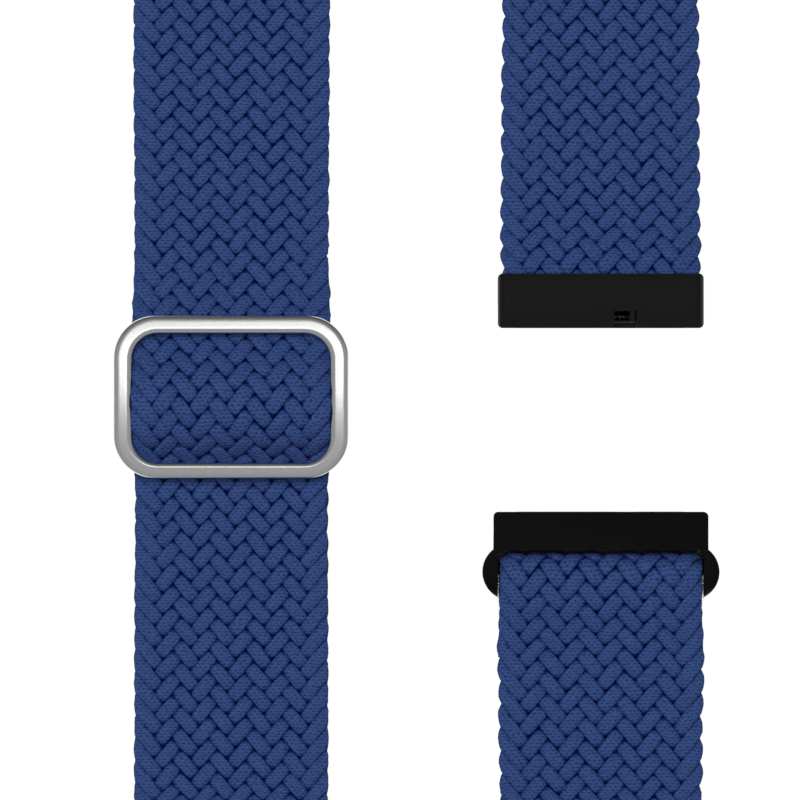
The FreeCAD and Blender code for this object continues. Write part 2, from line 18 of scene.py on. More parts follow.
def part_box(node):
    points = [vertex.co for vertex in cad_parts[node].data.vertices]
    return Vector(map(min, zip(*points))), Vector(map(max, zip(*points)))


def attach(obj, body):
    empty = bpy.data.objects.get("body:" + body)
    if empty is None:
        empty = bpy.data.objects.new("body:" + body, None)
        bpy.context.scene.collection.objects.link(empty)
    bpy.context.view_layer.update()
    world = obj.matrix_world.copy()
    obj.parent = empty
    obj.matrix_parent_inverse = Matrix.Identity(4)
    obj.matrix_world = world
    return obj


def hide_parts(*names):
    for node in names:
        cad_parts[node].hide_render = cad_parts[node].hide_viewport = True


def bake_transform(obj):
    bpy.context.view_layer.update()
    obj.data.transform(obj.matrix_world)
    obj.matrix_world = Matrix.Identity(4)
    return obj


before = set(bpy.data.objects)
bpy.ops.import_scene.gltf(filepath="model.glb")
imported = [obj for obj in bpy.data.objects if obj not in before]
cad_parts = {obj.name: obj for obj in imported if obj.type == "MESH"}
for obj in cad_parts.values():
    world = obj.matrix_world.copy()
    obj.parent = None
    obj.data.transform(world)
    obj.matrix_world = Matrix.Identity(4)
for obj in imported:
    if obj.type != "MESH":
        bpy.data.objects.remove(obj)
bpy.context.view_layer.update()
MM = 0.001


def box_mm(node):
    """A solid's lowest and highest corner, in millimetres."""
    low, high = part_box(node)
    return low / MM, high / MM


def middle(node, axis):
    """The middle of a solid along one axis, in millimetres."""
    low, high = box_mm(node)
    return (low[axis] + high[axis]) / 2


def placed(name, data):
    """A new object in the scene that holds the data."""
    made = bpy.data.objects.new(name, data)
    bpy.context.scene.collection.objects.link(made)
    return made


# The strap's path

# Places from the solids. The two columns lie along Y, at -COLUMN_X and at +COLUMN_X
COLUMN_X = middle("right_upper_run", 0)
LOW_Z = middle("left_upper_run", 2)
HIGH_Z = middle("left_lower_run", 2)
LAYER_STEP = HIGH_Z - LOW_Z
HALF_W = COLUMN_X - box_mm("right_upper_run")[0].x
HALF_T = LOW_Z
TOP_TURN_Y = box_mm("left_upper_run")[1].y
HUMP_TOP_Y = box_mm("left_upper_run")[0].y
HUMP_BOTTOM_Y = box_mm("left_lower_run")[1].y
BOTTOM_TURN_Y = box_mm("left_lower_run")[0].y
UPPER_WEB_START_Y = box_mm("clamped_webbing")[0].y
UPPER_WEB_END_Y = box_mm("right_upper_run")[0].y
UPPER_MOUTH_Y = box_mm("upper_housing")[1].y
LOOP_END_Y = box_mm("right_lower_run")[1].y
CROSSBAR_Y = middle("lower_crossbar", 1)
SLIDER_BAR_Y = middle("slider_bar", 1)
BAR_Z = middle("slider_bar", 2)
WRAP_R = BAR_Z - HALF_T
WRAP_TOP_Z = BAR_Z + WRAP_R

# The curves between those places, as (y, z) points of the webbing's middle
HUMP_POINTS = [
    (HUMP_TOP_Y, LOW_Z), (10.4, 1.6), (6.9, 3.05), (3.4, 4.8), (1.0, 5.9),
    (-1.0, 6.15), (-4.0, 5.0), (-6.4, 3.1), (-7.6, 2.92), (HUMP_BOTTOM_Y, HIGH_Z),
]
TAIL_POINTS = [(SLIDER_BAR_Y, WRAP_TOP_Z), (-2.2, 3.55), (-4.2, 2.75)]
FALL_POINTS = [(CROSSBAR_Y, WRAP_TOP_Z), (-22.5, 3.55), (LOOP_END_Y, HIGH_Z)]
UPPER_WEB_Z = 2.3
DIP_POINTS = [(UPPER_MOUTH_Y, UPPER_WEB_Z), (15.4, 1.6), (UPPER_WEB_END_Y, LOW_Z)]
CROSSBAR_SLACK = 0.12  # the loop fills the gap before the end's inner face
CURVE_STEPS = 12  # from one point of a curve to the next
ARC_POINTS = 25
TURN_STEPS = 640
ROLL_POWER = 1.4  # how late in a U-turn the webbing rolls on to its edge
ROUTE_STEP = 0.1

Stretch = namedtuple("Stretch", "route widths pulled straight")


def smooth_step(t):
    return t * t * (3 - 2 * t)


def smooth_through(points):
    """Points along a smooth curve through (y, z) points, level at both ends."""
    at = np.array(points, float)
    chord = np.linalg.norm(np.diff(at, axis=0), axis=1)
    count = len(at)
    system = np.zeros((count, count))
    wanted = np.zeros((count, 2))
    system[0, 0] = system[-1, -1] = 1
    wanted[0, 0] = wanted[-1, 0] = math.copysign(1, at[-1, 0] - at[0, 0])
    for i in range(1, count - 1):
        before, after = chord[i - 1], chord[i]
        system[i, i - 1 : i + 2] = 1 / before, 2 / before + 2 / after, 1 / after
        wanted[i] = 3 * (at[i] - at[i - 1]) / before**2 + 3 * (at[i + 1] - at[i]) / after**2
    slope = np.linalg.solve(system, wanted)
    found = [at[:1]]
    t = np.linspace(0, 1, CURVE_STEPS + 1)[1:, None]
    for i in range(count - 1):
        rise = chord[i] * t * (1 - t) * ((1 - t) * slope[i] - t * slope[i + 1])
        found.append(at[i] + (at[i + 1] - at[i]) * smooth_step(t) + rise)
    return np.concatenate(found)


def arc_round(bar_y, start, end, slack):
    """Points round a bar at the webbing's middle. Angles are from +Y towards +Z, in degrees."""
    turn = np.radians(np.linspace(start, end, ARC_POINTS))[:, None]
    return np.hstack([bar_y + (WRAP_R + slack) * np.cos(turn), BAR_Z + WRAP_R * np.sin(turn)])


class Route:
    """A stretch's route as even samples: middle line, way across and outward way by length along it."""

    def __init__(self, centre, across):
        ends = np.concatenate([[0], np.cumsum(np.linalg.norm(np.diff(centre, axis=0), axis=1))])
        self.length = ends[-1]
        count = int(self.length / ROUTE_STEP) + 2
        self.at = np.linspace(0, self.length, count)
        self.centre = np.column_stack([np.interp(self.at, ends, centre[:, i]) for i in range(3)])
        self.across = np.column_stack([np.interp(self.at, ends, across[:, i]) for i in range(3)])
        along = np.gradient(self.centre, axis=0)
        outward = np.cross(self.across, along)
        self.outward = outward / np.linalg.norm(outward, axis=1)[:, None]

    def place(self, flat):
        """Flat points (across, along, outward) carried on to the route."""
        def look(table):
            return np.column_stack([np.interp(flat[:, 1], self.at, table[:, i]) for i in range(3)])
        return look(self.centre) + flat[:, :1] * look(self.across) + flat[:, 2:] * look(self.outward)


def in_column(column, points):
    """A route whose (y, z) points lie in one column: -1 for the left one, +1 for the right one."""
    points = np.array(points, float)
    centre = np.column_stack([np.full(len(points), column * COLUMN_X), points])
    across = np.tile([float(column), 0.0, 0.0], (len(points), 1))
    return Route(centre, across)


def turn_route(start_y, side, lift, leftwards):
    """The route round a U-turn, rolled on to its outer edge in the middle.

    side is +1 for the turn at the top and -1 for the one at the bottom. lift is the layer's height above
    the lowest one.
    """
    u = np.linspace(0, 1, TURN_STEPS + 1)
    halfway = (u[1:] + u[:-1]) / 2
    heading = np.pi * (1 - np.cos(np.pi * halfway)) / 2
    step = 2 * COLUMN_X / np.sin(heading).sum()
    x = np.concatenate([[0], np.cumsum(np.sin(heading))]) * step - COLUMN_X
    y = np.concatenate([[0], np.cumsum(np.cos(heading))]) * step
    heading = np.pi * (1 - np.cos(np.pi * u)) / 2
    roll = np.pi / 2 * np.sin(np.pi * u).clip(0) ** ROLL_POWER
    level = np.column_stack([np.cos(heading), -side * np.sin(heading), np.zeros_like(u)])
    up = np.array([0.0, 0.0, 1.0])
    across = level * np.cos(roll)[:, None] + up * np.sin(roll)[:, None]
    outward = up * np.cos(roll)[:, None] - level * np.sin(roll)[:, None]
    height = HALF_W * np.sin(roll) + HALF_T * np.cos(roll)
    centre = np.column_stack([x, start_y + side * y, height]) + outward * lift
    if leftwards:
        centre, across = centre[::-1], across[::-1]
    return Route(centre, -across)


def strap_stretches():
    """Every stretch of webbing, in the strap's own order.

    Each has its route, its width as (share of its length, width), how far it is pulled out, and how
    straight its edges are, from 0 to 1.
    """
    dip = smooth_through(DIP_POINTS)
    clamped = np.vstack([[(UPPER_WEB_START_Y, UPPER_WEB_Z)], dip])
    fall = smooth_through(FALL_POINTS)
    over_crossbar = arc_round(CROSSBAR_Y, 90, -90, CROSSBAR_SLACK)
    loop = np.vstack([fall[::-1], over_crossbar[1:], [(LOOP_END_Y, LOW_Z)]])
    tail = smooth_through(TAIL_POINTS)
    sewn = np.vstack([[(HUMP_BOTTOM_Y, LOW_Z)], arc_round(SLIDER_BAR_Y, -90, 90, 0), tail[1:]])
    return {
        "clamped_webbing": Stretch(
            in_column(1, clamped),
            [(0, 20.2), (0.3, 20.3), (0.6, 20.8), (1, 20.8)], pulled=1.045, straight=0.2,
        ),
        "right_upper_run": Stretch(
            in_column(1, [(UPPER_WEB_END_Y, LOW_Z), (TOP_TURN_Y, LOW_Z)]),
            [(0, 20.8), (1, 20.4)], pulled=1.045, straight=0.2,
        ),
        "top_turn": Stretch(
            turn_route(TOP_TURN_Y, side=1, lift=0, leftwards=True),
            [(0, 20.4), (1, 20.4)], pulled=1.02, straight=0.5,
        ),
        "left_upper_run": Stretch(
            in_column(-1, [(TOP_TURN_Y, LOW_Z), (HUMP_TOP_Y, LOW_Z)]),
            [(0, 20.4), (1, 20.1)], pulled=1.0, straight=0.9,
        ),
        "slider_hump": Stretch(
            in_column(-1, smooth_through(HUMP_POINTS)),
            [(0, 20.1), (0.25, 20.56), (0.55, 20.66), (0.8, 20.54), (1, 19.75)], pulled=1.12, straight=0.9,
        ),
        "left_lower_run": Stretch(
            in_column(-1, [(HUMP_BOTTOM_Y, HIGH_Z), (BOTTOM_TURN_Y, HIGH_Z)]),
            [(0, 19.75), (0.4, 20.05), (1, 20.1)], pulled=1.0, straight=0.9,
        ),
        "bottom_turn_outer": Stretch(
            turn_route(BOTTOM_TURN_Y, side=-1, lift=LAYER_STEP, leftwards=False),
            [(0, 20.1), (1, 21.0)], pulled=1.02, straight=0.5,
        ),
        "right_lower_run": Stretch(
            in_column(1, [(BOTTOM_TURN_Y, HIGH_Z), (LOOP_END_Y, HIGH_Z)]),
            [(0, 21.0), (1, 21.5)], pulled=1.045, straight=0.2,
        ),
        "crossbar_loop": Stretch(
            in_column(1, loop),
            [(0, 21.5), (0.12, 21.3), (0.2, 21.1), (0.7, 21.1), (0.85, 21.0), (1, 20.5)],
            pulled=1.045, straight=0.2,
        ),
        "right_return_run": Stretch(
            in_column(1, [(LOOP_END_Y, LOW_Z), (BOTTOM_TURN_Y, LOW_Z)]),
            [(0, 20.5), (1, 20.2)], pulled=1.02, straight=0.4,
        ),
        "bottom_turn_return": Stretch(
            turn_route(BOTTOM_TURN_Y, side=-1, lift=0, leftwards=True),
            [(0, 20.2), (1, 20.0)], pulled=1.0, straight=0.6,
        ),
        "left_return_run": Stretch(
            in_column(-1, [(BOTTOM_TURN_Y, LOW_Z), (HUMP_BOTTOM_Y, LOW_Z)]),
            [(0, 20.0), (1, 20.0)], pulled=1.0, straight=0.8,
        ),
        "sewn_end_loop": Stretch(
            in_column(-1, sewn),
            [(0, 20.0), (1, 20.0)], pulled=1.0, straight=0.8,
        ),
    }


# The braid: strands that run from edge to edge and back, over two and under two
STRANDS = 21
PITCH = 2.29  # along the strap, from one strand to the next that runs the same way
CROSSING_STEP = 2 * HALF_W / STRANDS  # across the strap, from one crossing to the next
STRAND_WIDTH = 1.5
STRAND_THICK = 0.8
STRAND_SQUARENESS = 2.8
STRAND_SIDES = 12
CROSSING_Z = 0.4  # a strand's height where it crosses another
CREST_Z = 0.44  # and between two crossings that it passes over
EDGE_ROUND = 0.7
SAMPLE = PITCH / 8
SPARE_SAMPLES = 9  # beyond each end of a stretch

# How uneven the strands lie
UNEVEN = 0.12
UNEVEN_SCALE = 0.35
WIDTH_UNEVEN = 0.05
WIDTH_UNEVEN_SCALE = 0.4
STRAND_NOISE_STEP = 7.3
WIDTH_NOISE_LEVEL = 5
NOISE_SEED = 1  # without a seed, the noise vectors differ from run to run

# The thin core between the crossing strands, which closes the small holes
CORE_MARGIN = 2.8  # how much narrower the core is than the strands
FRAMED_MARGIN = 0.16  # and where a frame stands close to both edges
FRAMED = ("slider_hump", "crossbar_loop")
CORE_THICK = 0.1
CORE_STEP = 0.5

# The strap's edges
SQUEEZE_DEPTH = 0.27  # how far a straight edge's strands are drawn in
SQUEEZE_AT = 0.32
SQUEEZE_SPREAD = 0.25
FUZZ = 0.07
FUZZ_SCALE = 3
FUZZ_REACH = 0.7
# These three keep the painted shade in the gaps between strands away from the strap's edges
EDGE_LIGHT = 1.75
EDGE_LIGHT_REACH = 0.9
EDGE_LIGHT_HEIGHT = 0.84

# The strips of the map for baking
STRIP_START = 0.04
STRIP_SHARE = 0.92
CORE_STRIP_SHARE = 0.4


def crossing_signs():
    """Which way a strand passes at each crossing: +1 over, -1 under and 0 where it turns at an edge.

    It first crosses to the right and then comes back. In columns 0, 1, 4, 5 and so on the strand that is
    coming back lies on top, and in the others the one that is going.
    """
    going = [-1 if column % 4 < 2 else 1 for column in range(STRANDS - 1)]
    coming = [-sign for sign in reversed(going)]
    return np.array([0] + going + [0] + coming + [0])


SIGNS = crossing_signs()


def strand_path(index, along, swapped):
    """One strand's middle in the flat braid at each place along the strap: across and height."""
    passed = (along / (PITCH / 2) + 2 * index) % (2 * STRANDS)
    share = np.where(passed <= STRANDS, passed, 2 * STRANDS - passed)
    near_left = share * CROSSING_STEP / EDGE_ROUND
    near_right = (STRANDS - share) * CROSSING_STEP / EDGE_ROUND
    rounding = np.hypot(near_left, 1) - near_left - np.hypot(near_right, 1) + near_right
    across = (share - STRANDS / 2) * CROSSING_STEP + EDGE_ROUND * rounding
    before = np.floor(passed).astype(int)
    part = passed - before
    last = along - part * PITCH / 2
    first_sign = SIGNS[before] * np.where(swapped(last), -1, 1)
    next_sign = SIGNS[before + 1] * np.where(swapped(last + PITCH / 2), -1, 1)
    crest = CROSSING_Z + (CREST_Z - CROSSING_Z) * (1 - np.cos(2 * np.pi * part)) / 2
    through = CROSSING_Z * (first_sign + (next_sign - first_sign) * smooth_step(part))
    height = np.where(first_sign == next_sign, first_sign * crest, through)
    height = np.where(first_sign == 0, CROSSING_Z * next_sign * np.sin(np.pi / 2 * part), height)
    height = np.where(next_sign == 0, CROSSING_Z * first_sign * np.cos(np.pi / 2 * part), height)
    return across, height


def strand_section():
    """A strand's flattened round section, as the curve that shapes every strand."""
    curve = bpy.data.curves.new("strand_section", "CURVE")
    spline = curve.splines.new("POLY")
    spline.points.add(STRAND_SIDES - 1)
    power = 2 / STRAND_SQUARENESS
    for i, point in enumerate(spline.points):
        turn = 2 * math.pi * i / STRAND_SIDES
        wide, tall = math.cos(turn), math.sin(turn)
        x = math.copysign(abs(wide) ** power, wide) * STRAND_WIDTH / 2
        y = math.copysign(abs(tall) ** power, tall) * STRAND_THICK / 2
        point.co = (x, y, 0, 1)
    spline.use_cyclic_u = True
    return placed("strand_section", curve)


def width_at(share, widths):
    """The webbing's width at a share of the stretch's length."""
    shares, values = zip(*widths)
    return np.interp(share, shares, values)


def flat_strands(section, start, stretch, swapped):
    """Every strand of one stretch as a tube in the flat braid, running a little past both ends."""
    length, pulled = stretch.route.length, stretch.pulled
    low = math.floor(start / SAMPLE) - SPARE_SAMPLES
    high = math.ceil((start + length / pulled) / SAMPLE) + SPARE_SAMPLES
    along = np.arange(low, high + 1) * SAMPLE
    where = (along - start) * pulled
    wide = width_at(where / length, stretch.widths) / (2 * HALF_W)
    curve = bpy.data.curves.new("strands", "CURVE")
    curve.dimensions = "3D"
    curve.twist_mode = "Z_UP"
    curve.bevel_mode = "OBJECT"
    curve.bevel_object = section
    for index in range(STRANDS):
        across, height = strand_path(index, along, swapped)
        spline = curve.splines.new("POLY")
        spline.points.add(len(along) - 1)
        for i, point in enumerate(spline.points):
            spot = Vector((across[i], along[i], 0)) * UNEVEN_SCALE
            shift = noise.noise_vector(spot) * UNEVEN
            spot = Vector((index * STRAND_NOISE_STEP, along[i] * WIDTH_UNEVEN_SCALE, WIDTH_NOISE_LEVEL))
            own = noise.noise(spot)
            point.co = (across[i] * wide[i] + shift.x, where[i] + shift.y, height[i], 1)
            point.radius = math.sqrt(pulled * wide[i]) * (1 + WIDTH_UNEVEN * own)
    holder = placed("strands", curve)
    shaped = holder.evaluated_get(bpy.context.evaluated_depsgraph_get())
    mesh = bpy.data.meshes.new_from_object(shaped)
    bpy.data.objects.remove(holder)
    bpy.data.curves.remove(curve)
    return mesh


def corner_vertices(mesh):
    """The vertex at every face corner of a mesh."""
    corners = np.zeros(len(mesh.loops), int)
    mesh.loops.foreach_get("vertex_index", corners)
    return corners


def add_map(mesh, name, spots):
    """A map with one (u, v) spot for every face corner."""
    layer = mesh.uv_layers.new(name=name)
    layer.data.foreach_set("uv", spots.astype(np.float32).ravel())


def add_bake_map(mesh):
    """A map for baking: every strand is a strip of its own, along it one way and round it the other."""
    rings = len(mesh.vertices) // (STRANDS * STRAND_SIDES)
    strand, place = np.divmod(corner_vertices(mesh).reshape(-1, 4), rings * STRAND_SIDES)
    ring, side = np.divmod(place, STRAND_SIDES)
    wraps = side.max(axis=1) - side.min(axis=1) > STRAND_SIDES / 2
    side = np.where(wraps[:, None] & (side == 0), STRAND_SIDES, side)
    strip = (strand + STRIP_START + STRIP_SHARE * side / STRAND_SIDES) / (STRANDS + 1)
    add_map(mesh, "OFBake", np.stack([ring / rings, strip], axis=-1))


def add_core(shape, length, widths, margin):
    """A thin flat core that lies between the crossing strands. It takes the last strip of the map."""
    rows = int(length / CORE_STEP) + 1
    core = bmesh.ops.create_grid(shape, x_segments=2, y_segments=rows, size=0.5, calc_uvs=False)["verts"]
    for vert in core:
        share = vert.co.y + 0.5
        vert.co = (vert.co.x * (width_at(share, widths) - margin), share * length, -CORE_THICK / 2)
    faces = list(dict.fromkeys(face for vert in core for face in vert.link_faces))
    map_layer = shape.loops.layers.uv["OFBake"]
    for face in faces:
        for loop in face.loops:
            at = loop.vert.co
            strip = (STRANDS + 0.5 + CORE_STRIP_SHARE * at.x / (2 * HALF_W)) / (STRANDS + 1)
            loop[map_layer].uv = (at.y / length, strip)
    bmesh.ops.solidify(shape, geom=faces, thickness=CORE_THICK)


def cut_to_length(mesh, length, widths, margin):
    """Cuts the strands square at both ends of the stretch, closes them and adds the core."""
    shape = bmesh.new()
    shape.from_mesh(mesh)
    for y, way in ((0, -1), (length, 1)):
        geometry = shape.verts[:] + shape.edges[:] + shape.faces[:]
        bmesh.ops.bisect_plane(
            shape, geom=geometry, plane_co=(0, y, 0), plane_no=(0, way, 0), clear_outer=True
        )
    open_edges = [edge for edge in shape.edges if edge.is_boundary]
    for edge in open_edges:
        edge.smooth = False
    caps = bmesh.ops.holes_fill(shape, edges=open_edges, sides=0)["faces"]
    for face in shape.faces:
        face.smooth = True
    for face in caps:
        face.smooth = False
    add_core(shape, length, widths, margin)
    shape.to_mesh(mesh)
    shape.free()


def braid(node, stretch, start, section, swapped):
    """One stretch of webbing, strand by strand, in place of its solid."""
    route, widths = stretch.route, stretch.widths
    mesh = flat_strands(section, start, stretch, swapped)
    add_bake_map(mesh)
    cut_to_length(mesh, route.length, widths, FRAMED_MARGIN if node in FRAMED else CORE_MARGIN)
    flat = np.zeros(len(mesh.vertices) * 3)
    mesh.vertices.foreach_get("co", flat)
    flat = flat.reshape(-1, 3)

    # The strands near an edge are drawn in where it is straight, and made uneven
    half = width_at(flat[:, 1] / route.length, widths) / 2
    inside = half - np.abs(flat[:, 0])
    inside -= stretch.straight * SQUEEZE_DEPTH * np.exp(-((inside - SQUEEZE_AT) / SQUEEZE_SPREAD) ** 2)
    fuzz = np.array([noise.noise(Vector((f[0], f[1] + start, f[2])) * FUZZ_SCALE) for f in flat])
    inside += FUZZ * fuzz * np.exp(-((inside / FUZZ_REACH) ** 2))
    flat[:, 0] = np.copysign(half - inside, flat[:, 0])

    # The height from the middle layer marks where shade is painted dark into the gaps between strands, and
    # the edges are kept free of that painted shade
    height = np.abs(flat[:, 2])
    side = np.clip(EDGE_LIGHT - inside / EDGE_LIGHT_REACH, 0, 1) * EDGE_LIGHT_HEIGHT
    gap_shade_level = mesh.attributes.new("painted_gap_shade", "FLOAT", "POINT")
    gap_shade_level.data.foreach_set("value", np.maximum(height, side).astype(np.float32))
    spots = np.column_stack([flat[:, 0], flat[:, 1] / stretch.pulled + start])
    add_map(mesh, "band", spots[corner_vertices(mesh)])

    mesh.vertices.foreach_set("co", (route.place(flat) * MM).astype(np.float32).ravel())
    mesh.update()
    mesh.name = node + "_braid"
    mesh.materials.clear()
    mesh.materials.append(BRAID)
    piece = placed(node + "_braid", mesh)
    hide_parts(node)
    return piece


def build_strap():
    """The whole strap in its own order, so that the braid runs on from stretch to stretch."""
    noise.seed_set(NOISE_SEED)
    section = strand_section()
    stretches = strap_stretches()
    starts = {}
    along = 0.0
    for node, stretch in stretches.items():
        starts[node] = along
        along += stretch.route.length / stretch.pulled
    half_pitch = PITCH / 2

    def turn_middle(node):
        """The place between two rows of crossings nearest the middle of a turn."""
        middle_at = starts[node] + stretches[node].route.length / stretches[node].pulled / 2
        return (math.floor(middle_at / half_pitch) + 0.5) * half_pitch

    top = turn_middle("top_turn")
    bottom = turn_middle("bottom_turn_outer")

    def swapped(at):
        """Whether the strands pass the other way, so that both columns show the photograph's slant."""
        return (at > top) & (at < bottom)

    made = {}
    for node, stretch in stretches.items():
        made[node] = braid(node, stretch, starts[node], section, swapped)
    bpy.data.objects.remove(section)
    return made


def ride_strap(braids):
    """Joins the stretches in the first list to the body that carries each; the runs in the second list only
    get their place baked into their meshes.
    """
    for node, body in (
        ("clamped_webbing", "upper_end"), ("top_turn", "root"), ("bottom_turn_outer", "root"),
        ("bottom_turn_return", "root"), ("slider_hump", "sewn_end"), ("sewn_end_loop", "sewn_end"),
        ("crossbar_loop", "stretched_end"),
    ):
        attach(braids[node], body)
    for node, body, start_y, end_y in (
        ("right_upper_run", "upper_end", TOP_TURN_Y, UPPER_WEB_END_Y),
        ("left_upper_run", "sewn_end", TOP_TURN_Y, HUMP_TOP_Y),
        ("left_lower_run", "sewn_end", BOTTOM_TURN_Y, HUMP_BOTTOM_Y),
        ("left_return_run", "sewn_end", BOTTOM_TURN_Y, HUMP_BOTTOM_Y),
        ("right_lower_run", "stretched_end", BOTTOM_TURN_Y, LOOP_END_Y),
        ("right_return_run", "stretched_end", BOTTOM_TURN_Y, LOOP_END_Y),
    ):
        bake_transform(braids[node])


# Shader nodes


def add(tree, kind, links=(), **settings):
    """A node with its settings. links gives its inputs: a socket to join, or a plain value."""
    node = tree.nodes.new("ShaderNode" + kind)
    for key, value in settings.items():
        setattr(node, key, value)
    for key, value in dict(links).items():
        if isinstance(value, bpy.types.NodeSocket):
            tree.links.new(value, node.inputs[key])
        else:
            node.inputs[key].default_value = value
    return node


def maths(tree, operation, first, second=0.0, third=0.0):
    """One Math node's output."""
    return add(tree, "Math", {0: first, 1: second, 2: third}, operation=operation).outputs[0]


def ranged(tree, value, start, end, low=0.0, high=1.0, **settings):
    """A value carried from the range start to end on to the range low to high."""
    return add(tree, "MapRange", {0: value, 1: start, 2: end, 3: low, 4: high}, **settings).outputs[0]


def mixed(tree, factor, first, second):
    """Two colours mixed."""
    return add(tree, "Mix", {0: factor, 6: first, 7: second}, data_type="RGBA").outputs[2]


def new_group(name, inputs, outputs):
    """An empty shader node group with its sockets. Each is (name, kind) or (name, kind, default)."""
    group = bpy.data.node_groups.new(name, "ShaderNodeTree")
    for way, sockets in (("INPUT", inputs), ("OUTPUT", outputs)):
        for socket in sockets:
            made = group.interface.new_socket(socket[0], in_out=way, socket_type="NodeSocket" + socket[1])
            if len(socket) > 2:
                made.default_value = socket[2]
    ins = group.nodes.new("NodeGroupInput")
    outs = group.nodes.new("NodeGroupOutput")
    return group, ins, outs


def new_material(name):
    """A new material, its tree and its Principled shader."""
    material = bpy.data.materials.new(name)
    material.use_nodes = True
    tree = material.node_tree
    return material, tree, tree.nodes["Principled BSDF"]


def srgb(red, green, blue):
    """A colour from its screen values, 0 to 255, as the linear values that shaders take."""
    def linear(value):
        value /= 255
        return value / 12.92 if value <= 0.04045 else ((value + 0.055) / 1.055) ** 2.4
    return (linear(red), linear(green), linear(blue), 1.0)


# Finishes

# The yarn's small stitches. Lengths are in millimetres on the strap, and a scale is per millimetre
STITCH_ROW = 0.33
STITCH_WIDTH_IN_ROWS = 1.7
STITCH_UNEVEN = 0.5
WANDER_SCALE = 1.3
ACROSS_SHARE = 0.75
BUMP_SHARE = 0.16
GRIT_SCALE = 2.6
MOTTLE_SCALE = 0.5
STITCH_DARK = 0.28
STITCH_LIGHT = 0.56
# The two gap heights below which the painted shade between the strands is full, and above which it ends
GAP_SHADE_FULL = 0.4
GAP_SHADE_END = 0.7
BUMP_STRENGTH = 0.5
BUMP_DISTANCE = 0.0001

# The first blue is painted shade for the gaps between the strands; the others are the yarn's own colours
GAP_SHADE_BLUE = srgb(0, 22, 86)
DASH_BLUE = srgb(35, 57, 112)
YARN_BLUE = srgb(56, 78, 130)
WORN_BLUE = srgb(65, 87, 138)

GRAIN_SCALE = 9000.0
GRAIN_SPREAD = 0.02


def yarn_group():
    """Textured yarn seen close: rows of small stitches that run across the strap."""
    group, ins, outs = new_group(
        "yarn_stitches",
        [("Band", "Vector"), ("Row", "Float", STITCH_ROW), ("Uneven", "Float", STITCH_UNEVEN)],
        [("Stitch", "Float"), ("Mottle", "Float")],
    )
    band = ins.outputs["Band"]
    wander = add(group, "TexNoise", {"Vector": band, "Scale": WANDER_SCALE, "Detail": 2.0})
    moved = add(group, "VectorMath", {0: wander.outputs["Color"], 1: (0.5, 0.5, 0.5)}, operation="SUBTRACT")
    moved = add(group, "VectorMath", {0: moved.outputs[0], "Scale": ins.outputs["Uneven"]}, operation="SCALE")
    moved = add(group, "VectorMath", {0: band, 1: moved.outputs[0]}, operation="ADD")
    parts = add(group, "SeparateXYZ", {0: moved.outputs[0]})
    row = maths(group, "DIVIDE", parts.outputs["Y"], ins.outputs["Row"])
    odd = maths(group, "MODULO", maths(group, "FLOOR", row), 2.0)
    wide = maths(group, "MULTIPLY", ins.outputs["Row"], STITCH_WIDTH_IN_ROWS)
    column = maths(group, "MULTIPLY_ADD", odd, 0.5, maths(group, "DIVIDE", parts.outputs["X"], wide))
    up = maths(group, "SINE", maths(group, "MULTIPLY", row, 2 * math.pi))
    over = maths(group, "SINE", maths(group, "MULTIPLY", column, 2 * math.pi))
    bumps = maths(group, "MULTIPLY_ADD", over, ACROSS_SHARE, up)
    grit = add(group, "TexNoise", {"Vector": band, "Scale": GRIT_SCALE, "Detail": 3.0, "Roughness": 0.7})
    stitch = maths(group, "MULTIPLY_ADD", bumps, BUMP_SHARE, grit.outputs[0])
    group.links.new(stitch, outs.inputs["Stitch"])
    cloud = add(group, "TexNoise", {"Vector": band, "Scale": MOTTLE_SCALE, "Detail": 2.0})
    group.links.new(cloud.outputs[0], outs.inputs["Mottle"])
    return group


def braid_material():
    """Navy elastic yarn, with shade painted dark into the gaps between the strands."""
    material, tree, shader = new_material("navy_braid")
    band = add(tree, "UVMap", uv_map="band").outputs[0]
    gap_shade_level = add(tree, "Attribute", attribute_name="painted_gap_shade").outputs["Fac"]
    yarn = add(tree, "Group", {"Band": band}, node_tree=yarn_group())
    stitch = yarn.outputs["Stitch"]
    dash = ranged(tree, stitch, STITCH_DARK, STITCH_LIGHT)
    # Painted shade: the low places between the strands are mixed towards a dark blue
    gap = ranged(tree, gap_shade_level, GAP_SHADE_FULL, GAP_SHADE_END, interpolation_type="SMOOTHSTEP")
    face = mixed(tree, dash, DASH_BLUE, mixed(tree, yarn.outputs["Mottle"], YARN_BLUE, WORN_BLUE))
    tree.links.new(mixed(tree, gap, GAP_SHADE_BLUE, face), shader.inputs["Base Color"])
    bump = add(tree, "Bump", {"Height": stitch, "Strength": BUMP_STRENGTH, "Distance": BUMP_DISTANCE})
    tree.links.new(bump.outputs[0], shader.inputs["Normal"])
    shader.inputs["Roughness"].default_value = 0.9
    shader.inputs["Specular IOR Level"].default_value = 0.06
    return material


def plain(name, colour, roughness, metallic=0.0, shine=0.5):
    """A simple finish with a fine grain in its roughness."""
    material, tree, shader = new_material(name)
    place = add(tree, "TexCoord").outputs["Object"]
    grain = add(tree, "TexNoise", {"Vector": place, "Scale": GRAIN_SCALE, "Detail": 3.0}).outputs[0]
    rough = ranged(tree, grain, 0.3, 0.7, roughness - GRAIN_SPREAD, roughness + GRAIN_SPREAD)
    tree.links.new(rough, shader.inputs["Roughness"])
    shader.inputs["Base Color"].default_value = colour
    shader.inputs["Metallic"].default_value = metallic
    shader.inputs["Specular IOR Level"].default_value = shine
    return material


